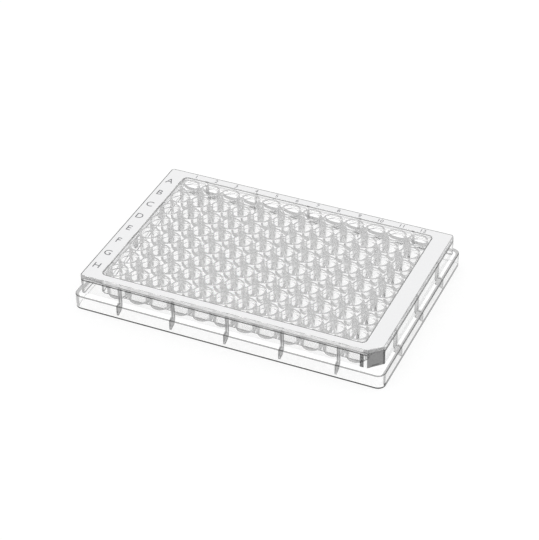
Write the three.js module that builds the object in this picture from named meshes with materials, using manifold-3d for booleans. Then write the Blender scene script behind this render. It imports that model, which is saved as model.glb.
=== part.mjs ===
// A 96-well plate, moulded in one piece of clear plastic. Millimetres, +Z up.
// The origin is the middle of the footprint, on the surface that the plate stands on.
// +X runs along the long side, from column 1 to column 12, and +Y from row H to row A.
import * as THREE from "three";
import { ConvexGeometry } from "three/addons/geometries/ConvexGeometry.js";
import { mergeVertices } from "three/addons/utils/BufferGeometryUtils.js";
import Module from "manifold-3d";

// Grid of wells: columns along X and rows along Y. The footprint reaches a set distance past the axes
// of the outermost wells, at its ends (past columns 1 and 12) and at its sides (past rows A and H).
const columns = 12;
const rows = 8;
const pitch = 9;
const edgePastColumns = 14.38;
const edgePastRows = 11.24;

// Skirt: the wide base that grippers, nests and readers hold.
const plateHeight = 14.35;
const footprintCorner = 3.18;
const skirtHeight = 6.1;
const skirtWall = 1.2;
const ledgeThickness = 1.1;

// Body above the ledge: stepped in from the skirt, with one corner cut off.
const stepLong = 2.25;
const stepShort = 2.6;
const bodyCorner = 1.4;
const bodyWall = 1.1;
const cutCorner = 5;
const rimThickness = 2.1;

// Tray inside the rim: the deck that carries the wells, and the wall that hangs round it. It clears
// the mouths of the outermost wells by one gap at its ends and another at its sides.
const trayEndGap = 0.1;
const traySideGap = 0.29;
const trayCorner = 1.6;
const trayDepth = 2.05;
const deckThickness = 1.1;
const trayWall = 1;
const trayWallDrop = 8.2;

// Wells: flat-bottomed cups, each with a rim that stands above the deck.
const mouthRadius = 3.4;
const floorRadius = 3.2;
const wellDepth = 9.7;
const mouthWall = 0.85;
const floorWall = 0.95;
const floorThickness = 1.1;
const mouthBelowRim = 0.15;
const wellSides = 8;

// Webs: each row of wells is held together by an upright web that hangs from the deck between them.
const webThickness = 1.2;
const webDepth = 5.7;

// Ribs: they stiffen the wall, the ledge and the skirt from inside.
const ribPitch = 22.5;
const ribsLongSide = 5;
const ribsShortSide = 3;
const ribThickness = 0.8;
const ribStem = 1.1;
const ribSeat = 0.4;
const ribToeHeight = 1.1;
const ribHeelHeight = 2;

const cornerSteps = 4;
const overcut = 1;

const gridSize = [(columns - 1) * pitch, (rows - 1) * pitch];
const skirtSize = [gridSize[0] + 2 * edgePastColumns, gridSize[1] + 2 * edgePastRows];
const bodySize = [skirtSize[0] - 2 * stepLong, skirtSize[1] - 2 * stepShort];
const mouthReach = mouthRadius + mouthWall;
const traySize = [
  gridSize[0] + 2 * (mouthReach + trayEndGap),
  gridSize[1] + 2 * (mouthReach + traySideGap),
];
const deckTop = plateHeight - trayDepth;
const deckUnderside = deckTop - deckThickness;
const rimUnderside = plateHeight - rimThickness;
const mouthHeight = plateHeight - mouthBelowRim;
const floorHeight = mouthHeight - wellDepth;

const wasm = await Module();
wasm.setup();

// A closed geometry as a solid that can be joined and cut.
function solidOf(geometry) {
  geometry.deleteAttribute("normal");
  geometry.deleteAttribute("uv");
  const merged = mergeVertices(geometry, 1e-4);
  const vertProperties = new Float32Array(merged.attributes.position.array);
  const triVerts = new Uint32Array(merged.index.array);
  return new wasm.Manifold(new wasm.Mesh({ numProp: 3, vertProperties, triVerts }));
}

// The triangles of a finished solid as a geometry with flat faces.
function geometryOf(solid) {
  const { vertProperties, triVerts } = solid.getMesh();
  const indexed = new THREE.BufferGeometry();
  indexed.setAttribute("position", new THREE.BufferAttribute(vertProperties, 3));
  indexed.setIndex(new THREE.BufferAttribute(triVerts, 1));
  const flat = indexed.toNonIndexed();
  flat.computeVertexNormals();
  return flat;
}

// A rectangle centred on the origin with rounded corners; its corner at +X, -Y can be cut at 45 degrees.
function plateOutline([length, width], radius, cut = 0) {
  const x = length / 2;
  const y = width / 2;
  const outline = new THREE.Shape();
  outline.moveTo(-x + radius, -y);
  if (cut > 0) {
    outline.lineTo(x - cut, -y);
    outline.lineTo(x, -y + cut);
  } else {
    outline.absarc(x - radius, -y + radius, radius, -Math.PI / 2, 0);
  }
  outline.absarc(x - radius, y - radius, radius, 0, Math.PI / 2);
  outline.absarc(-x + radius, y - radius, radius, Math.PI / 2, Math.PI);
  outline.absarc(-x + radius, -y + radius, radius, Math.PI, 1.5 * Math.PI);
  return outline;
}

// An outline in XY made solid from one height to another.
function prism(outline, bottom, top) {
  const options = { depth: top - bottom, bevelEnabled: false, curveSegments: cornerSteps };
  return solidOf(new THREE.ExtrudeGeometry(outline, options).translate(0, 0, bottom));
}

// The outline that lies a wall's thickness inside another; a cut corner keeps the same wall.
function insetOutline([length, width], radius, wall, cut = 0) {
  const insetCut = cut > 0 ? cut - wall * (2 - Math.SQRT2) : 0;
  const insetRadius = Math.max(radius - wall, 0.3);
  return plateOutline([length - 2 * wall, width - 2 * wall], insetRadius, insetCut);
}

// Skirt, ledge, walls and rim as one hollow shell, open below.
function shell() {
  const skirt = prism(plateOutline(skirtSize, footprintCorner), 0, skirtHeight);
  const body = prism(plateOutline(bodySize, bodyCorner, cutCorner), skirtHeight - overcut, plateHeight);
  const skirtRoom = prism(
    insetOutline(skirtSize, footprintCorner, skirtWall),
    -overcut,
    skirtHeight - ledgeThickness
  );
  const bodyRoom = prism(insetOutline(bodySize, bodyCorner, bodyWall, cutCorner), 0, rimUnderside);
  return skirt.add(body).subtract(skirtRoom).subtract(bodyRoom);
}

// The deck with the wall that hangs round it; the wall's outside is the tray grown by its thickness.
function tray() {
  const outerSize = traySize.map((side) => side + 2 * trayWall);
  const block = prism(
    plateOutline(outerSize, trayCorner + trayWall),
    plateHeight - trayWallDrop,
    plateHeight - rimThickness / 2
  );
  const pocket = prism(plateOutline(traySize, trayCorner), 0, deckUnderside);
  return block.subtract(pocket);
}

// The corners of a ring with flat sides, two of which face along X and two along Y. It takes up as
// much area as the round that it stands for, so its corners lie a little outside that round.
function ring(radius, height) {
  const sector = (2 * Math.PI) / wellSides;
  const reach = radius * Math.sqrt(sector / Math.sin(sector));
  const corners = [];
  for (let side = 0; side < wellSides; side += 1) {
    const angle = (side + 0.5) * sector;
    corners.push(new THREE.Vector3(reach * Math.cos(angle), reach * Math.sin(angle), height));
  }
  return corners;
}

// A tapered round: the hull of its lower and its upper ring.
function taper(lowRadius, low, highRadius, high) {
  return solidOf(new ConvexGeometry([...ring(lowRadius, low), ...ring(highRadius, high)]));
}

const cupOutside = taper(
  floorRadius + floorWall,
  floorHeight - floorThickness,
  mouthRadius + mouthWall,
  mouthHeight
);

// The bore keeps its taper past the mouth, so that the cut leaves no skin there.
const boreFlare = (mouthRadius - floorRadius) / wellDepth;
const cupInside = taper(
  floorRadius,
  floorHeight,
  mouthRadius + boreFlare * overcut,
  mouthHeight + overcut
);

// The places of the well axes, column by column.
function wellPlaces() {
  const places = [];
  for (let column = 0; column < columns; column += 1) {
    for (let row = 0; row < rows; row += 1) {
      places.push([(column - (columns - 1) / 2) * pitch, ((rows - 1) / 2 - row) * pitch, 0]);
    }
  }
  return places;
}

function copiesAt(solid, places) {
  return wasm.Manifold.union(places.map((place) => solid.translate(place)));
}

// The web of each row, from the axis of its first well to the axis of its last. Its top lies in the deck.
function webs() {
  const height = webDepth + deckThickness / 2;
  const middle = deckUnderside - webDepth + height / 2;
  const web = solidOf(new THREE.BoxGeometry(gridSize[0], webThickness, height));
  const solids = [];
  for (let row = 0; row < rows; row += 1) {
    solids.push(web.translate([0, ((rows - 1) / 2 - row) * pitch, middle]));
  }
  return wasm.Manifold.union(solids);
}

// One rib on the side that faces -Y, drawn outward from the middle of the plate. Its outer edge lies
// in the wall, the ledge and the skirt, and its foot tapers to a toe near the bottom of the skirt.
function rib(halfSkirt, halfBody) {
  const wallFace = halfBody - bodyWall;
  const skirtFace = halfSkirt - skirtWall;
  const outline = new THREE.Shape();
  outline.moveTo(wallFace - ribStem, rimUnderside + ribSeat);
  outline.lineTo(wallFace - ribStem, skirtHeight - ledgeThickness);
  outline.lineTo(wallFace - ribStem / 4, ribHeelHeight);
  outline.lineTo(skirtFace + ribSeat, ribToeHeight);
  outline.lineTo(skirtFace + ribSeat, skirtHeight - ledgeThickness + ribSeat);
  outline.lineTo(wallFace + ribSeat, skirtHeight - ledgeThickness + ribSeat);
  outline.lineTo(wallFace + ribSeat, rimUnderside + ribSeat);
  const upright = new THREE.ExtrudeGeometry(outline, { depth: ribThickness, bevelEnabled: false });
  upright.translate(0, 0, -ribThickness / 2);
  upright.rotateX(Math.PI / 2).rotateZ(-Math.PI / 2);
  return solidOf(upright);
}

// The ribs of one side and of the side across from it, spread about the middle.
function ribPair(halfSkirt, halfBody, count, turn) {
  const first = rib(halfSkirt, halfBody);
  const solids = [];
  for (let n = 0; n < count; n += 1) {
    const along = (n - (count - 1) / 2) * ribPitch;
    solids.push(first.translate([along, 0, 0]).rotate([0, 0, turn]));
    solids.push(first.translate([along, 0, 0]).rotate([0, 0, turn + 180]));
  }
  return solids;
}

const ribs = wasm.Manifold.union([
  ...ribPair(skirtSize[1] / 2, bodySize[1] / 2, ribsLongSide, 0),
  ...ribPair(skirtSize[0] / 2, bodySize[0] / 2, ribsShortSide, 90),
]);

// The tray's opening goes through the rim, down to the deck.
const opening = prism(plateOutline(traySize, trayCorner), deckTop, plateHeight + overcut);
const places = wellPlaces();
const plateSolid = shell()
  .add(tray())
  .subtract(opening)
  .add(ribs)
  .add(copiesAt(cupOutside, places))
  .add(webs())
  .subtract(copiesAt(cupInside, places));

const clearPlastic = new THREE.MeshStandardMaterial({
  name: "clear_plastic",
  color: 0xf2f4f5,
  roughness: 0.08,
  metalness: 0,
  transparent: true,
  opacity: 0.35,
});

const plate = new THREE.Mesh(geometryOf(plateSolid), clearPlastic);
plate.name = "plate";

const wellPlate = new THREE.Group();
wellPlate.name = "well_plate";
wellPlate.add(plate);

export default wellPlate;
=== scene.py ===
"""The looks of a clear 96-well plate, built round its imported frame.

Metres, +Z up. Column 1 lies at -X and row A at +Y. Sizes are written in millimetres and turned
into metres as each mesh is made.
"""

import math

import bpy
import numpy as np
from mathutils import Matrix, Vector


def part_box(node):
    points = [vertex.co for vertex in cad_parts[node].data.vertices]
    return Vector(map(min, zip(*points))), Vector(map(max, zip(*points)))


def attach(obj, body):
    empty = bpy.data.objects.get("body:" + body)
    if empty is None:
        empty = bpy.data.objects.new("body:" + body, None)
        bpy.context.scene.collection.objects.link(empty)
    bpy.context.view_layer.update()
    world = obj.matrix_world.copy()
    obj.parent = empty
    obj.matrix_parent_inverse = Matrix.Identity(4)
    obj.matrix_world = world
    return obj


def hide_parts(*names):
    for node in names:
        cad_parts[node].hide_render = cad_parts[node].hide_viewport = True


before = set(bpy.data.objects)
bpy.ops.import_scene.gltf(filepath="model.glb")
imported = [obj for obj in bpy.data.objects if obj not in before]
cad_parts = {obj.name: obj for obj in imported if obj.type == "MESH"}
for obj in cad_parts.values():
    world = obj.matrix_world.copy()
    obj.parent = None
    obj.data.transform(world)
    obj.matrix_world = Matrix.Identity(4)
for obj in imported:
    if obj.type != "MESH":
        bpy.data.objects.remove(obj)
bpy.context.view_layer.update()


# ---- The plate ----------------------------------------------------------------------------------
# One injection moulding in clear polystyrene: a skirt to stand on, a body stepped in above a
# ledge with one corner cut off, a flat rim, and inside it a sunken deck that carries 96 cups.
# Every wall is about a millimetre thick, so the underside is hollow and ribs stiffen the walls.

MM = 0.001
high_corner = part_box("plate")[1]
SKIRT_HALF = np.array([high_corner.x, high_corner.y]) / MM
HEIGHT = high_corner.z / MM
PRINT_ROOM = 0.03
RIM_TOP = HEIGHT - PRINT_ROOM

SKIRT_CORNER = 3.18
SKIRT_WALL = 1.2
LEDGE = 6.1
LEDGE_WALL = 1.1
LEDGE_WIDTH = [2.25, 2.6]
BODY_HALF = SKIRT_HALF - LEDGE_WIDTH
BODY_CORNER = 1.4
BODY_WALL = 1.1
CORNER_CUT = 5.0
RIM_WALL = 2.1
RIM_WIDTH = [7.78, 4.1]
TRAY_HALF = BODY_HALF - RIM_WIDTH
TRAY_CORNER = 1.6
TRAY_DEPTH = 2.05
TRAY_WALL = 1.0
TRAY_WALL_DROP = 8.2
DECK_WALL = 0.45
LEDGE_UNDERSIDE = LEDGE - LEDGE_WALL
RIM_UNDERSIDE = HEIGHT - RIM_WALL
DECK = HEIGHT - TRAY_DEPTH
DECK_UNDERSIDE = DECK - DECK_WALL
TRAY_WALL_LOW = HEIGHT - TRAY_WALL_DROP

# Radii of the rounded edges: the lower edges, the ledge with the walls' inner corners, and the rim.
LOW_EDGE, SOFT_EDGE, RIM_EDGE = 0.2, 0.4, 0.35

COLUMNS, ROWS, PITCH = 12, 8, 9.0
MOUTH_RADIUS = 3.4
MOUTH_WALL = 0.75
MOUTH_DROP = 0.15
MOUTH_EDGE = 0.12
FLOOR_RADIUS = 3.2
FLOOR_SIDE_WALL = 0.87
FLOOR_WALL = 1.1
FLOOR_FILLET = 0.5
FOOT_EDGE = 0.3
WELL_DEPTH = 9.7
MOUTH = HEIGHT - MOUTH_DROP
FLOOR = MOUTH - WELL_DEPTH
CUP_UNDERSIDE = FLOOR - FLOOR_WALL
CUP_SIDES = 40
WEB_LOW, WEB_TOP = 5.5, 13.8
WEB_TURN = math.radians(12)

RIB_PITCH = 22.5
RIB_WIDTH = 0.8
RIB_STEM = 1.1
RIB_HEEL_DEPTH = RIB_STEM / 4
RIB_TOE = 1.1
RIB_HEEL = 2.0
RIB_STEM_LOW = LEDGE_UNDERSIDE - 0.05
RIBS_LONG_SIDE = 5
RIBS_SHORT_SIDE = 3

# An outline's columns: each stands on one side or corner of the plate. OUT is the side's outward
# direction and ALONG the way round it, which is also the next side's outward direction.
SIDE_OUT = np.array([[0.0, -1.0], [1.0, 0.0], [0.0, 1.0], [-1.0, 0.0]])
CORNER_STEPS = 9
CORNER_CLEARANCE = 2
STATION_GAP = 4.5


def side_stations(side):
    """Places along one straight side: even steps, and two at each face of each rib, outside and
    inside it. With them comes whether each is inside a rib."""
    ribs = RIBS_SHORT_SIDE if side % 2 else RIBS_LONG_SIDE
    middles = (np.arange(ribs) - (ribs - 1) / 2) * RIB_PITCH
    reach = TRAY_HALF[side % 2] - TRAY_CORNER - CORNER_CLEARANCE
    even = np.linspace(-reach, reach, int(2 * reach / STATION_GAP))
    clear = np.abs(even[:, None] - middles).min(1) > RIB_WIDTH
    faces = (middles[:, None] + np.array([-1, -1, 1, 1]) * RIB_WIDTH / 2).ravel()
    inside = np.tile([False, True, True, False], ribs)
    order = np.argsort(np.concatenate([even[clear], faces]), kind="stable")
    return (
        np.concatenate([even[clear], faces])[order],
        np.concatenate([np.zeros(clear.sum(), bool), inside])[order],
    )


class Columns:
    """The columns of every outline, once round the plate from the front left corner: the side each
    belongs to, its place along it, its turn round a corner, and whether it is in a rib."""

    def __init__(self):
        side, place, turn, rib = [], [], [], []
        for n in range(4):
            stations, in_rib = side_stations(n)
            angles = np.linspace(0, math.pi / 2, CORNER_STEPS + 1)
            side.append(np.full(len(stations) + len(angles), n))
            place.append(np.concatenate([stations, np.zeros(len(angles))]))
            turn.append(np.concatenate([np.full(len(stations), np.nan), angles]))
            rib.append(np.concatenate([in_rib, np.zeros(len(angles), bool)]))
        self.side, self.place = np.concatenate(side), np.concatenate(place)
        self.turn, self.rib = np.concatenate(turn), np.concatenate(rib)
        self.out, self.along = SIDE_OUT[self.side], SIDE_OUT[(self.side + 1) % 4]
        self.axis = 1 - self.side % 2


columns = Columns()
CARRIERS = {
    "skirt": (SKIRT_HALF, SKIRT_CORNER, 0.0),
    "body": (BODY_HALF, BODY_CORNER, CORNER_CUT),
    "tray": (TRAY_HALF, TRAY_CORNER, 0.0),
}
SMALLEST_RADIUS = 0.3
CUT_SOFTNESS = 0.6


def outlines(carriers, insets):
    """Rounded rectangles, one a row: half sizes less the inset, corner arcs as much smaller, and
    the cut corner drawn as two short arcs with a straight edge between them."""
    half = np.array([CARRIERS[c][0] for c in carriers]) - np.array(insets)[:, None]
    radius = np.array([CARRIERS[c][1] for c in carriers]) - insets
    radius = np.maximum(radius, SMALLEST_RADIUS)[:, None]
    cut = np.array([CARRIERS[c][2] for c in carriers])[:, None]
    cut = np.where(cut > 0, cut - np.array(insets)[:, None] * (2 - math.sqrt(2)), 0)
    cut = cut * (columns.side == 0)
    turn = np.nan_to_num(columns.turn)
    round_off = np.where(cut > 0, CUT_SOFTNESS * radius, radius)
    far = np.where(cut > 0, cut + round_off * math.tan(math.pi / 8), round_off)
    first = turn < math.pi / 4
    outward = half[:, columns.axis] - np.where(first, round_off, far) + round_off * np.cos(turn)
    forward = half[:, 1 - columns.axis] - np.where(first, far, round_off) + round_off * np.sin(turn)
    straight = np.isnan(columns.turn)
    outward = np.where(straight, half[:, columns.axis], outward)
    forward = np.where(straight, columns.place, forward)
    return outward[..., None] * columns.out + forward[..., None] * columns.along


def bend(across, height, radius, start, stop, steps=3):
    """A rounded edge of a section: the arc of this radius about (across, height), from start to
    stop in degrees, where 0 looks the way that across grows and 90 looks up."""
    turn = np.radians(np.linspace(start, stop, steps + 1))
    return np.stack([across + radius * np.cos(turn), height + radius * np.sin(turn)], 1).tolist()


# Climb counts the corners on the stretch of the frame's section that the ribs fill. Small steps of
# it keep the points of a rounded corner apart on a rib's inner edge.
TOE, UNDER_LEDGE, WALL_FOOT, WALL_TOP = 0, 1, 2, 3
CLIMB_STEP, FOOT_STEP = 0.02, 0.05


def frame_profile():
    """The section of the frame as rows of carrier, inset, height and climb. It runs from the deck's
    underside down round the hanging wall, out under the rim, down inside body and skirt, up outside
    them, in over the rim and down to the deck."""
    rows = []

    def add(carrier, points, climb=np.nan):
        rows.extend((carrier, inset, height, climb) for inset, height in points)

    add("tray", [(0, DECK_UNDERSIDE)])
    add("tray", bend(-LOW_EDGE, TRAY_WALL_LOW + LOW_EDGE, LOW_EDGE, 0, -90))
    add("tray", bend(LOW_EDGE - TRAY_WALL, TRAY_WALL_LOW + LOW_EDGE, LOW_EDGE, -90, -180))
    add("tray", bend(-TRAY_WALL - LOW_EDGE, RIM_UNDERSIDE - LOW_EDGE, LOW_EDGE, 0, 90))
    add("body", [(BODY_WALL + RIB_STEM, RIM_UNDERSIDE)], WALL_TOP)
    wall_corner = bend(BODY_WALL + SOFT_EDGE, RIM_UNDERSIDE - SOFT_EDGE, SOFT_EDGE, 90, 180)
    for step, point in enumerate(wall_corner):
        add("body", [point], WALL_TOP - CLIMB_STEP * step)
    add("body", [(BODY_WALL, LEDGE_UNDERSIDE + LOW_EDGE)], WALL_FOOT + FOOT_STEP)
    foot_corner = bend(BODY_WALL - LOW_EDGE, LEDGE_UNDERSIDE + LOW_EDGE, LOW_EDGE, 0, -90)
    add("body", foot_corner, WALL_FOOT)
    skirt_corner = bend(SKIRT_WALL + SOFT_EDGE, LEDGE_UNDERSIDE - SOFT_EDGE, SOFT_EDGE, 90, 180)
    for step, point in enumerate(skirt_corner):
        add("skirt", [point], UNDER_LEDGE + CLIMB_STEP * (2 - step))
    add("skirt", [(SKIRT_WALL, RIB_TOE)], TOE)
    add("skirt", bend(SKIRT_WALL - LOW_EDGE, LOW_EDGE, LOW_EDGE, 0, -90))
    add("skirt", bend(LOW_EDGE, LOW_EDGE, LOW_EDGE, -90, -180))
    add("skirt", bend(SOFT_EDGE, LEDGE - SOFT_EDGE, SOFT_EDGE, 180, 90))
    add("body", bend(-LOW_EDGE, LEDGE + LOW_EDGE, LOW_EDGE, -90, 0))
    add("body", bend(RIM_EDGE, RIM_TOP - RIM_EDGE, RIM_EDGE, 180, 90))
    add("tray", bend(-RIM_EDGE, RIM_TOP - RIM_EDGE, RIM_EDGE, 90, 0))
    add("tray", [(0, DECK)])
    return rows


def rib_section(climb, axis):
    """Where the ribs' inner edge stands for each climb: a line from the toe to the heel, up to the
    foot of the stem and up the stem, as distance from the middle of the plate and height."""
    wall = BODY_HALF[axis] - BODY_WALL
    reach = [SKIRT_HALF[axis] - SKIRT_WALL, wall - RIB_HEEL_DEPTH, wall - RIB_STEM, wall - RIB_STEM]
    height = [RIB_TOE, RIB_HEEL, RIB_STEM_LOW, RIM_UNDERSIDE]
    corners = [TOE, UNDER_LEDGE, WALL_FOOT, WALL_TOP]
    return np.interp(climb, corners, reach), np.interp(climb, corners, height)


def carried(rows):
    """Points of a profile carried along the outlines, one row of points for each row of the
    profile. In a rib's columns the rows that climb are moved to the rib's inner edge."""
    carriers, insets, heights, climb = (np.array(part) for part in zip(*rows))
    flat = outlines(carriers, insets)
    levels = np.broadcast_to(heights[:, None, None], (*flat.shape[:2], 1))
    points = np.concatenate([flat, levels], 2)
    for axis in (0, 1):
        here = np.flatnonzero(columns.rib & (columns.axis == axis))
        at = np.flatnonzero(~np.isnan(climb))
        reach, height = rib_section(climb[at], axis)
        grid = np.ix_(at, here)
        points[(*grid, axis)] = reach[:, None] * columns.out[here, axis]
        points[(*grid, 2)] = height[:, None]
    return points


def strip(points, closed_rows=False):
    """Triangles of a grid of points, with rows along a section and columns round it. Each faces the
    way of a step round it crossed with a step along the section."""
    count, around = points.shape[:2]
    row = np.arange(count if closed_rows else count - 1)[:, None]
    col = np.arange(around)[None, :]
    next_row, next_col = (row + 1) % count, (col + 1) % around
    a, b = row * around + col, row * around + next_col
    c, d = next_row * around + next_col, next_row * around + col
    faces = np.stack([np.stack([a, b, c], -1), np.stack([a, c, d], -1)], 2).reshape(-1, 3)
    return points.reshape(-1, 3), faces


def cup_radius(height):
    """The outside radius of a cup's wall, which widens evenly from its underside to its mouth."""
    foot, mouth = FLOOR_RADIUS + FLOOR_SIDE_WALL, MOUTH_RADIUS + MOUTH_WALL
    return foot + (mouth - foot) * (height - CUP_UNDERSIDE) / (MOUTH - CUP_UNDERSIDE)


def cup_inside():
    """A cup's section from the deck up its outside, over the rounded mouth and down the bore to the
    middle of the floor. The web's top comes twice, as a web's top is level from cup to cup."""
    rise = np.array([DECK, WEB_TOP, WEB_TOP])
    outer_edge, inner_edge = MOUTH_RADIUS + MOUTH_WALL - MOUTH_EDGE, MOUTH_RADIUS + MOUTH_EDGE
    return np.concatenate(
        [
            np.stack([cup_radius(rise), rise], 1),
            bend(outer_edge, MOUTH - MOUTH_EDGE, MOUTH_EDGE, 0, 90),
            bend(inner_edge, MOUTH - MOUTH_EDGE, MOUTH_EDGE, 90, 180),
            bend(FLOOR_RADIUS - FLOOR_FILLET, FLOOR + FLOOR_FILLET, FLOOR_FILLET, 0, -90, steps=4),
            [[0, FLOOR]],
        ]
    )


def cup_outside():
    """A cup's section below the deck, from the middle of its underside out and up to the deck's
    underside. The web's lower edge comes twice, as its top does above."""
    foot_edge = cup_radius(CUP_UNDERSIDE) - FOOT_EDGE
    rise = np.array([WEB_LOW, WEB_LOW, DECK_UNDERSIDE])
    return np.concatenate(
        [
            [[0, CUP_UNDERSIDE]],
            bend(foot_edge, CUP_UNDERSIDE + FOOT_EDGE, FOOT_EDGE, -90, 0),
            np.stack([cup_radius(rise), rise], 1),
        ]
    )


cup_angles = np.arange(CUP_SIDES) * 2 * math.pi / CUP_SIDES
DECK_SEAM = 0.05
SAME_PLACE = 1e-6
PLACE_DIGITS = 5


def cell_edges():
    """The axis of each cup and the edge of its share of the deck: a ray from the axis for each of
    the cup's sides ends on the side of its cell. The cells at the edge of the deck end just short
    of the wall and follow its round corners."""
    wells_x = (np.arange(COLUMNS) - (COLUMNS - 1) / 2) * PITCH
    wells_y = (np.arange(ROWS) - (ROWS - 1) / 2) * PITCH
    axes = np.stack(np.meshgrid(wells_x, wells_y, indexing="ij"), -1).reshape(-1, 2)
    reach = np.full((len(axes), 2, 2), PITCH / 2)
    edge = TRAY_HALF - DECK_SEAM
    for axis in (0, 1):
        outer = np.abs(axes[:, axis]) > np.abs(axes[:, axis]).max() - 1
        sign = (axes[:, axis] > 0).astype(int)
        reach[outer, axis, sign[outer]] = (edge[axis] - np.abs(axes[:, axis]))[outer]
    ray = np.stack([np.cos(cup_angles), np.sin(cup_angles)], 1)
    ray = ray / np.abs(ray).max(1)[:, None]
    side = (ray > 0).astype(int)
    stretch = np.stack([reach[:, 0, :][:, side[:, 0]], reach[:, 1, :][:, side[:, 1]]], -1)
    points = axes[:, None, :] + ray * stretch
    middle = TRAY_HALF - TRAY_CORNER
    past = np.abs(points) - middle
    length = np.linalg.norm(past, axis=-1, keepdims=True)
    pulled = np.sign(points) * (middle + past / length * (TRAY_CORNER - DECK_SEAM))
    return axes, np.where((past > 0).all(-1)[..., None], pulled, points)


def turned(section, axes):
    """A section of radii and heights turned about each cup's axis: rows of points for every cup."""
    ring = np.stack([np.cos(cup_angles), np.sin(cup_angles)], 1)
    flat = section[None, :, None, :1] * ring + axes[:, None, None, :]
    heights = np.broadcast_to(section[None, :, None, 1:], (*flat.shape[:3], 1))
    return np.concatenate([flat, heights], -1)


def cups():
    """All the cups with the deck and the webs between them, as two grids for each cup: one above
    and one below. A web is the rows next to the deck, drawn out to the cell's edge for the few
    columns that look along the row of cups. Faces on that edge are left out, so that webs meet."""
    axes, edges = cell_edges()
    flat_edges = edges[:, None]
    level = np.ones((*flat_edges.shape[:3], 1))
    deck_top = np.concatenate([flat_edges, DECK * level], -1)
    deck_low = np.concatenate([flat_edges, DECK_UNDERSIDE * level], -1)
    top, bottom = turned(cup_inside(), axes), turned(cup_outside(), axes)
    sideways = np.cos(cup_angles)
    in_web = np.abs(sideways) > math.cos(WEB_TURN)
    outermost = np.abs(axes[:, 0]) > np.abs(axes[:, 0]).max() - 1
    away = outermost[:, None] & (np.sign(axes[:, :1]) == np.sign(sideways))
    cell, turn = np.nonzero(in_web & ~away)
    bottom[cell, -2:, turn, :2] = edges[cell, turn][:, None]
    top[cell, :2, turn, :2] = edges[cell, turn][:, None]
    above = np.concatenate([deck_top, top], 1)
    below = np.concatenate([bottom, deck_low], 1)
    for points in (above, below):
        faces = strip(points[0])[1]
        size = points.shape[1] * points.shape[2]
        faces = (faces + size * np.arange(len(axes))[:, None, None]).reshape(-1, 3)
        points = points.reshape(-1, 3)
        from_edge = np.abs(np.mod(points[:, 0] + PITCH / 2, PITCH) - PITCH / 2)
        lowest, highest = points[faces, 2].min(1), points[faces, 2].max(1)
        on_edge = (from_edge[faces] < SAME_PLACE).all(1)
        on_edge &= (lowest < DECK_UNDERSIDE - SAME_PLACE) | (highest > DECK + SAME_PLACE)
        yield points, faces[~on_edge]


def seam(outer, inner, height, upward):
    """Triangles between two loops in one level plane. Each edge of one loop is joined to the corner
    of the other that its middle has come to, counted by angle round the plate."""
    points, middles = [], []
    for loop in (outer, inner):
        angle = np.arctan2(loop[:, 1] / TRAY_HALF[1], loop[:, 0] / TRAY_HALF[0])
        angle = np.mod(angle, 2 * math.pi)
        order = np.argsort(angle)
        angle = angle[order]
        points.append(loop[order])
        middles.append((angle + np.append(angle[1:], angle[0] + 2 * math.pi)) / 2)
    n_outer, n_inner = len(points[0]), len(points[1])
    reached_inner = np.searchsorted(middles[1], middles[0]) % n_inner
    reached_outer = np.searchsorted(middles[0], middles[1]) % n_outer
    i, j = np.arange(n_outer), np.arange(n_inner)
    faces = np.concatenate(
        [
            np.stack([i, (i + 1) % n_outer, n_outer + reached_inner], 1),
            np.stack([n_outer + (j + 1) % n_inner, n_outer + j, reached_outer], 1),
        ]
    )
    flat = np.concatenate(points)
    return np.column_stack([flat, np.full(len(flat), height)]), faces if upward else faces[:, ::-1]


def deck_rim():
    """The loop where the outermost cells of the deck end."""
    points = cell_edges()[1].reshape(-1, 2)
    edge, middle = TRAY_HALF - DECK_SEAM, TRAY_HALF - TRAY_CORNER
    on_side = (np.abs(np.abs(points) - edge) < SAME_PLACE).any(1)
    on_corner = (np.abs(points) > middle).all(1)
    return np.unique(np.round(points[on_side | on_corner], PLACE_DIGITS), axis=0)


def joined(parts):
    """Parts put together as one mesh: points that meet become one, and faces left without area are
    dropped."""
    sizes = np.cumsum([0] + [len(points) for points, _ in parts[:-1]])
    points = np.round(np.concatenate([points for points, _ in parts]), PLACE_DIGITS)
    faces = np.concatenate([faces + start for (_, faces), start in zip(parts, sizes)])
    points, index = np.unique(points, axis=0, return_inverse=True)
    faces = index.reshape(-1)[faces]
    whole = (faces != np.roll(faces, 1, axis=1)).all(1)
    return points, faces[whole]


def mesh_object(name, points, faces, sharp_degrees=30):
    """A mesh object from points in millimetres and triangles, smooth where faces meet at less than
    this angle."""
    mesh = bpy.data.meshes.new(name)
    mesh.vertices.add(len(points))
    mesh.vertices.foreach_set("co", (points * MM).astype(np.float32).ravel())
    mesh.loops.add(3 * len(faces))
    mesh.loops.foreach_set("vertex_index", faces.astype(np.int32).ravel())
    mesh.polygons.add(len(faces))
    mesh.polygons.foreach_set("loop_start", np.arange(0, 3 * len(faces), 3, dtype=np.int32))
    mesh.update(calc_edges=True)
    mesh.validate()
    mesh.shade_smooth()
    mesh.set_sharp_from_angle(angle=math.radians(sharp_degrees))
    piece = bpy.data.objects.new(name, mesh)
    bpy.context.scene.collection.objects.link(piece)
    return piece


frame_points = carried(frame_profile())
rim_loop = deck_rim()
parts = [strip(frame_points), *cups()]
parts.append(seam(frame_points[-1, :, :2], rim_loop, DECK, True))
parts.append(seam(frame_points[0, :, :2], rim_loop, DECK_UNDERSIDE, False))
plate = mesh_object("clear_plate", *joined(parts))


def new_material(name):
    """An empty node material, with its node tree and its output node."""
    material = bpy.data.materials.new(name)
    material.use_nodes = True
    tree = material.node_tree
    tree.nodes.clear()
    return material, tree, tree.nodes.new("ShaderNodeOutputMaterial")


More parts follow.
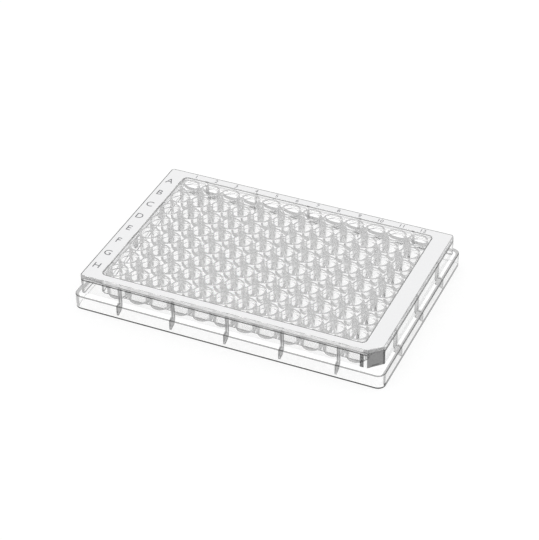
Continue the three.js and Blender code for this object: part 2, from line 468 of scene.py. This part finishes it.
def feed(tree, node, inputs):
    """Gives a node its inputs, by name or number: a socket is linked, and a plain value is set."""
    for name, given in inputs.items():
        if isinstance(given, bpy.types.NodeSocket):
            tree.links.new(given, node.inputs[name])
        else:
            node.inputs[name].default_value = given


def value_node(tree, operation, *inputs):
    """The result of a Math node with this operation, its inputs being sockets or plain numbers."""
    node = tree.nodes.new("ShaderNodeMath")
    node.operation = operation
    feed(tree, node, dict(enumerate(inputs)))
    return node.outputs[0]


def noise(tree, scale, detail):
    """Soft noise through the piece, from 0 to 1, with its place read from Object coordinates."""
    where = tree.nodes.new("ShaderNodeTexCoord").outputs["Object"]
    node = tree.nodes.new("ShaderNodeTexNoise")
    feed(tree, node, {"Vector": where, "Scale": scale, "Detail": detail})
    return node.outputs["Fac"]


def all_of(tree, mask, *others):
    """1 where every one of these masks is 1: their product."""
    for other in others:
        mask = value_node(tree, "MULTIPLY", mask, other)
    return mask


def band(tree, value, low, high):
    """1 where a value in metres lies between two heights or places in millimetres, else 0."""
    above = value_node(tree, "GREATER_THAN", value, low * MM)
    return all_of(tree, above, value_node(tree, "LESS_THAN", value, high * MM))


def beyond(tree, reach, half, radius, inset):
    """1 outside a rounded rectangle of these half sizes less the inset, else 0. It is
    sqrt(px^2 + py^2) > radius - inset, where p = max(|x| - (half - radius), 0) on each axis and
    reach holds |x| and |y|. The inset has to be smaller than the radius."""
    squares = []
    for distance, side in zip(reach, half):
        past = value_node(tree, "SUBTRACT", distance, (side - radius) * MM)
        past = value_node(tree, "MAXIMUM", past, 0.0)
        squares.append(value_node(tree, "MULTIPLY", past, past))
    far = value_node(tree, "SQRT", value_node(tree, "ADD", *squares))
    return value_node(tree, "GREATER_THAN", far, (radius - inset) * MM)


# A mark on a face takes in this much to each side of it, or less where another face is near.
FACE_REACH, CLOSE_REACH = 0.05, 0.01


def near_rib(tree, along, across, axis):
    """1 on the ribs of one pair of sides, else 0: within half a rib's width of a rib's middle along
    the side, and across it between a rib's inner edge and the skirt."""
    turn = value_node(tree, "WRAP", along, -RIB_PITCH / 2 * MM, RIB_PITCH / 2 * MM)
    away = value_node(tree, "ABSOLUTE", turn)
    middle = value_node(tree, "LESS_THAN", away, (RIB_WIDTH / 2 + CLOSE_REACH) * MM)
    inner = BODY_HALF[axis] - BODY_WALL - RIB_STEM - FACE_REACH
    outer = SKIRT_HALF[axis] - SKIRT_WALL - 2 * CLOSE_REACH
    return all_of(tree, middle, band(tree, across, inner, outer))


# The plastic is clear and almost smooth. Shade is painted into its colour: dark lines along its
# base, ledge, hanging edge, rim and top edges, a greyer skirt, body, ribs and rim face, and across
# the cut corner, at well H12, a dark grey face with a dark bar beside it. The ribs, the rim's face
# and the cut face are also a little matt. A mark's shade multiplies the base colour. Outlines count
# only where they are seen directly, because a well would bend them into dark spots.
CLEAR_TINT = 0.996
CLEAR_IOR = 1.35
HAZE_SCALE, HAZE_DETAIL = 240, 3
HAZE_ROUGHNESS, HAZE_SPAN = 0.005, 0.03
FLOW_SCALE, FLOW_DETAIL = 90, 1
FLOW_STRENGTH, FLOW_DEPTH = 0.12, 0.0003

# Painted shade on the skirt: a dark line along its base and up its ends, a greyer face, and a dark
# line at the ledge.
SKIRT_REACH, SKIRT_END_REACH = 0.42, 0.3
BASE_LINE, BASE_LINE_ENDS = 0.75, 1.8
BASE_LINE_SHADE = 0.006
SKIRT_SHADE, SKIRT_END_SHADE = 0.84, 0.8
LEDGE_LINE_SHADE = 0.15
OUTLINE_ROUGHNESS = 0.05

# Painted shade on the body: a greyer face and greyer ribs, and a dark line along the hanging wall's
# lower edge.
BODY_FOOT = 0.3
BODY_SHADE = 0.8
RIB_SHADE, RIB_ROUGHNESS = 0.6, 0.3
HANGING_EDGE = (-0.1, 0.35)
HANGING_EDGE_REACH = 0.15
HANGING_EDGE_GAP = 0.1
HANGING_EDGE_SHADE = 0.15

# Painted shade at the cut corner: its face dark grey, paler near the top, and a dark bar beside it
# on the front.
CUT_FOOT = 0.15
CUT_REACH = 0.12
CUT_FACE_RISE = 0.75
CUT_FACE_SHADE, CUT_FACE_TOP_SHADE = 0.07, 0.9
CUT_ROUGHNESS = 0.35
CORNER_BAR = (7.9, 6.4)
CORNER_BAR_REACH = 0.1
CORNER_BAR_SHADE, CORNER_BAR_ROUGHNESS = 0.04, 0.2

# Painted shade on the rim: a dark line under it, deeper at its ends, a greyer face, and darker top
# edges, darkest on the left and back, with a dark edge along the tray.
RIM_LINE_DROP, RIM_LINE_RISE = 0.35, 0.2
RIM_LINE_SHADE = 0.04
RIM_END_RISE = 0.9
RIM_END_SHADE = 0.2
RIM_FACE_DROP = 0.8
RIM_FACE_SHADE, RIM_FACE_ROUGHNESS = 0.6, 0.3
LIP_WIDTH = 0.5
LIP_DROP, TRAY_LIP_DROP = 0.3, 0.35
LIP_SHADE, FAR_LIP_SHADE, TRAY_LIP_SHADE = 0.9, 0.05, 0.25
RIM_ROUGHNESS = 0.1

clear_plastic, tree, output = new_material("clear_plastic")
split = tree.nodes.new("ShaderNodeSeparateXYZ")
tree.links.new(tree.nodes.new("ShaderNodeTexCoord").outputs["Object"], split.inputs[0])
x, y, z = split.outputs
reach = (value_node(tree, "ABSOLUTE", x), value_node(tree, "ABSOLUTE", y))
seen_directly = tree.nodes.new("ShaderNodeLightPath").outputs["Is Camera Ray"]

on_skirt = beyond(tree, reach, SKIRT_HALF, SKIRT_CORNER, SKIRT_REACH)
on_skirt = all_of(tree, on_skirt, seen_directly)
on_skirt_ends = value_node(tree, "GREATER_THAN", reach[0], (SKIRT_HALF[0] - SKIRT_END_REACH) * MM)
on_skirt_ends = all_of(tree, on_skirt_ends, seen_directly)

cut_starts = BODY_HALF.sum() - CORNER_CUT - CUT_REACH
cut_face = value_node(tree, "SUBTRACT", x, y)
cut_face = value_node(tree, "GREATER_THAN", cut_face, cut_starts * MM)
on_body = beyond(tree, reach, BODY_HALF, BODY_CORNER, FACE_REACH)
on_body = all_of(tree, on_body, value_node(tree, "SUBTRACT", 1.0, cut_face), seen_directly)
on_body_ends = band(tree, reach[0], BODY_HALF[0] - FACE_REACH, BODY_HALF[0] + FACE_REACH)
on_body_ends = all_of(tree, on_body_ends, seen_directly)
at_front = value_node(tree, "LESS_THAN", y, (CORNER_BAR_REACH - BODY_HALF[1]) * MM)
corner_shade_bar = band(tree, x, BODY_HALF[0] - CORNER_BAR[0], BODY_HALF[0] - CORNER_BAR[1])
corner_shade_bar = all_of(tree, corner_shade_bar, at_front)
ribs = value_node(tree, "MAXIMUM", near_rib(tree, x, reach[1], 1), near_rib(tree, y, reach[0], 0))

hanging_wall = beyond(
    tree, reach, TRAY_HALF + TRAY_WALL, TRAY_CORNER + TRAY_WALL, HANGING_EDGE_REACH
)
rib_stems = BODY_HALF - BODY_WALL - RIB_STEM - HANGING_EDGE_GAP
past_stems = beyond(tree, reach, rib_stems, BODY_CORNER, 0)
hanging_wall = value_node(tree, "SUBTRACT", hanging_wall, past_stems)

on_rim = beyond(tree, reach, TRAY_HALF, TRAY_CORNER, CLOSE_REACH)
off_tray_lip = beyond(tree, reach, TRAY_HALF, TRAY_CORNER, -LIP_WIDTH)
tray_lip = all_of(tree, value_node(tree, "SUBTRACT", on_rim, off_tray_lip), seen_directly)
on_rim = all_of(tree, on_rim, seen_directly)
at_left = value_node(tree, "LESS_THAN", x, (LIP_WIDTH - BODY_HALF[0]) * MM)
at_back = value_node(tree, "GREATER_THAN", y, (BODY_HALF[1] - LIP_WIDTH) * MM)
far_lip = all_of(tree, value_node(tree, "MAXIMUM", at_left, at_back), seen_directly)

cut_foot, cut_top = LEDGE + CUT_FOOT, RIM_UNDERSIDE + CUT_FACE_RISE
ledge_edge, ledge_top = LEDGE - SOFT_EDGE, LEDGE - CLOSE_REACH
hanging_low, hanging_top = TRAY_WALL_LOW + HANGING_EDGE[0], TRAY_WALL_LOW + HANGING_EDGE[1]
rim_line_low, rim_line_top = RIM_UNDERSIDE - RIM_LINE_DROP, RIM_UNDERSIDE + RIM_LINE_RISE
rim_end_top = RIM_UNDERSIDE + RIM_END_RISE
# Each mark of painted shade: where it lies, its lowest and highest point, its shade and its
# roughness.
marked = {
    "base_line": (on_skirt, -BASE_LINE, BASE_LINE, BASE_LINE_SHADE, OUTLINE_ROUGHNESS),
    "base_line_ends": (on_skirt_ends, BASE_LINE, BASE_LINE_ENDS, BASE_LINE_SHADE, OUTLINE_ROUGHNESS),
    "skirt": (on_skirt, BASE_LINE, ledge_edge, SKIRT_SHADE, 0.0),
    "skirt_ends": (on_skirt_ends, BASE_LINE_ENDS, ledge_edge, SKIRT_END_SHADE, 0.0),
    "ledge_line": (on_skirt, ledge_edge, ledge_top, LEDGE_LINE_SHADE, OUTLINE_ROUGHNESS),
    "body": (on_body, LEDGE + BODY_FOOT, rim_line_low, BODY_SHADE, 0.0),
    "ribs": (ribs, RIB_TOE, RIM_UNDERSIDE - FACE_REACH, RIB_SHADE, RIB_ROUGHNESS),
    "hanging_edge": (hanging_wall, hanging_low, hanging_top, HANGING_EDGE_SHADE, 0.0),
    "cut_face": (cut_face, cut_foot, cut_top, CUT_FACE_SHADE, CUT_ROUGHNESS),
    "cut_face_top": (cut_face, cut_top, HEIGHT, CUT_FACE_TOP_SHADE, CUT_ROUGHNESS),
    "corner_shade_bar": (corner_shade_bar, cut_foot, RIM_UNDERSIDE, CORNER_BAR_SHADE, CORNER_BAR_ROUGHNESS),
    "rim_line": (on_body, rim_line_low, rim_line_top, RIM_LINE_SHADE, RIM_ROUGHNESS),
    "rim_ends": (on_body_ends, rim_line_low, rim_end_top, RIM_END_SHADE, RIM_ROUGHNESS),
    "rim_face": (on_body, rim_line_top, RIM_TOP - RIM_FACE_DROP, RIM_FACE_SHADE, RIM_FACE_ROUGHNESS),
    "lip": (on_rim, RIM_TOP - LIP_DROP, HEIGHT, LIP_SHADE, RIM_ROUGHNESS),
    "far_lip": (far_lip, RIM_TOP - LIP_DROP, HEIGHT, FAR_LIP_SHADE, RIM_ROUGHNESS),
    "tray_lip": (tray_lip, RIM_TOP - TRAY_LIP_DROP, HEIGHT, TRAY_LIP_SHADE, RIM_ROUGHNESS),
}
# The plastic's own faint tint, times the painted shade of each mark where it lies.
tint_and_shade = CLEAR_TINT
matt = 0.0
for mask, low, high, painted_shade, mark_roughness in marked.values():
    here = all_of(tree, mask, band(tree, z, low, high))
    shade = value_node(tree, "MULTIPLY_ADD", here, painted_shade - 1, 1.0)
    tint_and_shade = value_node(tree, "MULTIPLY", tint_and_shade, shade)
    matt = value_node(tree, "MAXIMUM", matt, value_node(tree, "MULTIPLY", here, mark_roughness))
haze = noise(tree, HAZE_SCALE, HAZE_DETAIL)
haze = value_node(tree, "MULTIPLY_ADD", haze, HAZE_SPAN, HAZE_ROUGHNESS)
wave = tree.nodes.new("ShaderNodeBump")
flow = noise(tree, FLOW_SCALE, FLOW_DETAIL)
feed(tree, wave, {"Strength": FLOW_STRENGTH, "Distance": FLOW_DEPTH, "Height": flow})
shader = tree.nodes.new("ShaderNodeBsdfPrincipled")
feed(
    tree,
    shader,
    {
        "Base Color": tint_and_shade,
        "Roughness": value_node(tree, "ADD", matt, haze),
        "Normal": wave.outputs["Normal"],
        "IOR": CLEAR_IOR,
        "Transmission Weight": 1,
    },
)
tree.links.new(shader.outputs["BSDF"], output.inputs["Surface"])
plate.data.materials.append(clear_plastic)
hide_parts("plate")
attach(plate, "root")


# ---- The pale field on the rim ------------------------------------------------------------------
# The flat top of the rim carries a thin pale coat all round, so that the marks on it read against
# a plain ground. It stops short of the rim's rounded edges.

FIELD_EDGE = 0.55
FIELD_INNER_EDGE = 0.6
FIELD_GAP = 0.006
MARK_ROOM = 0.012
FIELD_LOW, FIELD_TOP = RIM_TOP + FIELD_GAP, HEIGHT - MARK_ROOM
FIELD_DARK, FIELD_LIGHT = (0.81, 0.81, 0.816, 1), (0.86, 0.86, 0.865, 1)
FIELD_ROUGHNESS = (0.4, 0.6)
SPECKLE_SCALE, SPECKLE_DETAIL = 900.0, 4
SPECKLE_STRENGTH, SPECKLE_DEPTH = 0.08, 0.00002


def print_grain():
    """A node group: the fine speckle of a printed coat, as a mask, a roughness and a slightly
    uneven normal."""
    group = bpy.data.node_groups.new("print_grain", "ShaderNodeTree")
    smoothest, roughest = FIELD_ROUGHNESS
    inputs = {
        "Speckles": SPECKLE_SCALE,
        "Smoothest": smoothest,
        "Roughest": roughest,
        "Depth": SPECKLE_STRENGTH,
    }
    for name, value in inputs.items():
        socket = group.interface.new_socket(name, in_out="INPUT", socket_type="NodeSocketFloat")
        socket.default_value = value
    group.interface.new_socket("Mask", in_out="OUTPUT", socket_type="NodeSocketFloat")
    group.interface.new_socket("Roughness", in_out="OUTPUT", socket_type="NodeSocketFloat")
    group.interface.new_socket("Normal", in_out="OUTPUT", socket_type="NodeSocketVector")
    given = group.nodes.new("NodeGroupInput").outputs
    speckle = noise(group, given["Speckles"], SPECKLE_DETAIL)
    span = value_node(group, "SUBTRACT", given["Roughest"], given["Smoothest"])
    rough = value_node(group, "MULTIPLY_ADD", speckle, span, given["Smoothest"])
    relief = group.nodes.new("ShaderNodeBump")
    feed(group, relief, {"Distance": SPECKLE_DEPTH, "Strength": given["Depth"], "Height": speckle})
    made = {"Mask": speckle, "Roughness": rough, "Normal": relief.outputs["Normal"]}
    feed(group, group.nodes.new("NodeGroupOutput"), made)
    return group


grain_group = print_grain()


def speckled(tree, shader, dark, light, roughness):
    """Places the print's grain in a material: colour between dark and light, roughness within its
    two values."""
    grain = tree.nodes.new("ShaderNodeGroup")
    grain.node_tree = grain_group
    feed(tree, grain, {"Smoothest": roughness[0], "Roughest": roughness[1]})
    shade = tree.nodes.new("ShaderNodeMix")
    shade.data_type = "RGBA"
    feed(tree, shade, {"A": dark, "B": light, "Factor": grain.outputs["Mask"]})
    feed(
        tree,
        shader,
        {
            "Base Color": shade.outputs["Result"],
            "Roughness": grain.outputs["Roughness"],
            "Normal": grain.outputs["Normal"],
        },
    )


field_section = [
    ("tray", -FIELD_INNER_EDGE, FIELD_LOW, np.nan),
    ("body", FIELD_EDGE, FIELD_LOW, np.nan),
    ("body", FIELD_EDGE, FIELD_TOP, np.nan),
    ("tray", -FIELD_INNER_EDGE, FIELD_TOP, np.nan),
]
rim_field = mesh_object("rim_field", *joined([strip(carried(field_section), closed_rows=True)]))
field_coat, tree, output = new_material("rim_field")
shader = tree.nodes.new("ShaderNodeBsdfPrincipled")
speckled(tree, shader, FIELD_DARK, FIELD_LIGHT, FIELD_ROUGHNESS)
tree.links.new(shader.outputs["BSDF"], output.inputs["Surface"])
rim_field.data.materials.append(field_coat)
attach(rim_field, "root")


# ---- Row letters and column numbers -------------------------------------------------------------
# Thin grey marks on the pale field name the wells: A to H down the left of the rim, beside the
# rows, and 1 to 12 along the back, above the columns. They are plain letters with no maker's sign.

LETTER_HEIGHT = 3.3
LETTER_X = -58.4
LETTER_DROP = 0.35
NUMBER_HEIGHT = 2.0
NUMBER_Y = (BODY_HALF[1] + TRAY_HALF[1]) / 2
TYPE_BODY = 1.4
TYPE_CURVE_STEPS = 4
MARK_GAP = 0.002
MARK_LOW = FIELD_TOP + MARK_GAP
INK_DARK, INK_LIGHT = (0.12, 0.12, 0.13, 1), (0.22, 0.22, 0.23, 1)
INK_ROUGHNESS = (0.5, 0.7)


def mark(text, height, x, y):
    """One mark as points in millimetres and triangles: a text's outline made a mesh, centred on
    (x, y), on a type body taller than its letters."""
    curve = bpy.data.curves.new("mark", "FONT")
    curve.body = text
    curve.align_x = "CENTER"
    curve.align_y = "CENTER"
    curve.size = height * TYPE_BODY
    curve.extrude = (HEIGHT - MARK_LOW) / 2
    curve.resolution_u = TYPE_CURVE_STEPS
    holder = bpy.data.objects.new("mark", curve)
    mesh = holder.to_mesh()
    points = np.empty(3 * len(mesh.vertices))
    mesh.vertices.foreach_get("co", points)
    mesh.calc_loop_triangles()
    faces = np.empty(3 * len(mesh.loop_triangles), np.int32)
    mesh.loop_triangles.foreach_get("vertices", faces)
    holder.to_mesh_clear()
    bpy.data.objects.remove(holder)
    bpy.data.curves.remove(curve)
    points = points.reshape(-1, 3)
    middle = (points.max(0) + points.min(0)) / 2
    return points - middle + [x, y, (HEIGHT + MARK_LOW) / 2], faces.reshape(-1, 3)


marks = []
for row, letter in enumerate("ABCDEFGH"):
    row_y = ((ROWS - 1) / 2 - row) * PITCH
    marks.append(mark(letter, LETTER_HEIGHT, LETTER_X, row_y - LETTER_DROP))
for column in range(COLUMNS):
    column_x = (column - (COLUMNS - 1) / 2) * PITCH
    marks.append(mark(str(column + 1), NUMBER_HEIGHT, column_x, NUMBER_Y))
grid_marks = mesh_object("grid_marks", *joined(marks))
mark_ink, tree, output = new_material("grid_marks")
shader = tree.nodes.new("ShaderNodeBsdfPrincipled")
speckled(tree, shader, INK_DARK, INK_LIGHT, INK_ROUGHNESS)
tree.links.new(shader.outputs["BSDF"], output.inputs["Surface"])
grid_marks.data.materials.append(mark_ink)
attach(grid_marks, "root")


# ---- The floor ----------------------------------------------------------------------------------
# A plain white table top. It is white to the camera and through the plastic, and greyer to light
# that the plastic has turned back inside, as in a studio whose far corners are dark. A small part
# of its brightness comes from the light in the room, so that it keeps the plate's shadow.

FLOOR_SIZE = 6
FLOOR_COLOUR = 0.2
FLOOR_INNER_SHARE = 0.5
GLOW_TO_CAMERA, GLOW_THROUGH_PLASTIC = 0.82, 0.97


def inner_share(tree, share):
    """The path of the light, and how much of its brightness to keep: this share for light that was
    reflected on its way out of the plastic, and 1 for all other light."""
    path = tree.nodes.new("ShaderNodeLightPath").outputs
    reflected = value_node(tree, "MINIMUM", path["Glossy Depth"], 1.0)
    inside = value_node(tree, "MINIMUM", path["Transmission Depth"], 1.0)
    turned_back = all_of(tree, reflected, inside)
    return path, value_node(tree, "MULTIPLY_ADD", turned_back, share - 1, 1.0)


bpy.ops.mesh.primitive_plane_add(size=FLOOR_SIZE)
floor = bpy.context.object
floor.name = "floor"
floor_white, tree, output = new_material("floor_white")
path, kept = inner_share(tree, FLOOR_INNER_SHARE)
through_plastic = value_node(tree, "MAXIMUM", path["Is Glossy Ray"], path["Is Transmission Ray"])
glow = value_node(tree, "MULTIPLY", through_plastic, GLOW_THROUGH_PLASTIC)
glow = value_node(tree, "MULTIPLY_ADD", path["Is Camera Ray"], GLOW_TO_CAMERA, glow)
lit = tree.nodes.new("ShaderNodeBsdfDiffuse")
feed(tree, lit, {"Color": value_node(tree, "MULTIPLY", kept, FLOOR_COLOUR)})
glowing = tree.nodes.new("ShaderNodeEmission")
feed(tree, glowing, {"Strength": value_node(tree, "MULTIPLY", glow, kept)})
both = tree.nodes.new("ShaderNodeAddShader")
feed(tree, both, {0: lit.outputs["BSDF"], 1: glowing.outputs["Emission"]})
tree.links.new(both.outputs["Shader"], output.inputs["Surface"])
floor.data.materials.append(floor_white)


# ---- Light --------------------------------------------------------------------------------------
# A pale studio: soft light from all round, brightest overhead, with greyer walls that give the
# clear plastic its grey edges.

WALL_LEVEL, CEILING_LEVEL = 0.1, 0.6
WALL_GREY, CEILING_WHITE = (0.45, 0.45, 0.455, 1), (1.15, 1.15, 1.15, 1)
STUDIO_INNER_SHARE = 0.8

world = bpy.data.worlds.new("studio")
bpy.context.scene.world = world
world.use_nodes = True
tree = world.node_tree
tree.nodes.clear()
output = tree.nodes.new("ShaderNodeOutputWorld")
background = tree.nodes.new("ShaderNodeBackground")
where = tree.nodes.new("ShaderNodeTexCoord")
split = tree.nodes.new("ShaderNodeSeparateXYZ")
walls = tree.nodes.new("ShaderNodeValToRGB")
low_end, high_end = walls.color_ramp.elements
low_end.position, low_end.color = WALL_LEVEL, WALL_GREY
high_end.position, high_end.color = CEILING_LEVEL, CEILING_WHITE
tree.links.new(where.outputs["Generated"], split.inputs[0])
tree.links.new(split.outputs["Z"], walls.inputs[0])
path, kept = inner_share(tree, STUDIO_INNER_SHARE)
feed(tree, background, {"Color": walls.outputs["Color"], "Strength": kept})
tree.links.new(background.outputs["Background"], output.inputs["Surface"])


# ---- Camera -------------------------------------------------------------------------------------
# A long lens looks down on the plate from the front right, at its whole length. Light may cross
# dozens of the plate's thin walls on its way to it.

CAMERA_TURN, CAMERA_RISE, CAMERA_ROLL = 24.55, 36.56, -1.0
CAMERA_FAR = 0.71466
CAMERA_AIM = Vector((0, 0, 0.007))
CAMERA_LENS, CAMERA_SENSOR = 122.385, 36
WALLS_CROSSED, WALLS_REFLECTED = 48, 32

turn, rise = math.radians(CAMERA_TURN), math.radians(CAMERA_RISE)
back = Vector((math.sin(turn) * math.cos(rise), -math.cos(turn) * math.cos(rise), math.sin(rise)))
camera_data = bpy.data.cameras.new("camera")
camera_data.lens = CAMERA_LENS
camera_data.sensor_width = CAMERA_SENSOR
camera = bpy.data.objects.new("camera", camera_data)
bpy.context.scene.collection.objects.link(camera)
stand = Matrix.Translation(CAMERA_AIM + back * CAMERA_FAR)
aimed = back.to_track_quat("Z", "Y").to_matrix().to_4x4()
roll = Matrix.Rotation(math.radians(CAMERA_ROLL), 4, "Z")
camera.matrix_world = stand @ aimed @ roll

scene = bpy.context.scene
scene.camera = camera
scene.view_settings.view_transform = "Standard"
scene.cycles.max_bounces = WALLS_CROSSED
scene.cycles.transmission_bounces = WALLS_CROSSED
scene.cycles.glossy_bounces = WALLS_REFLECTED
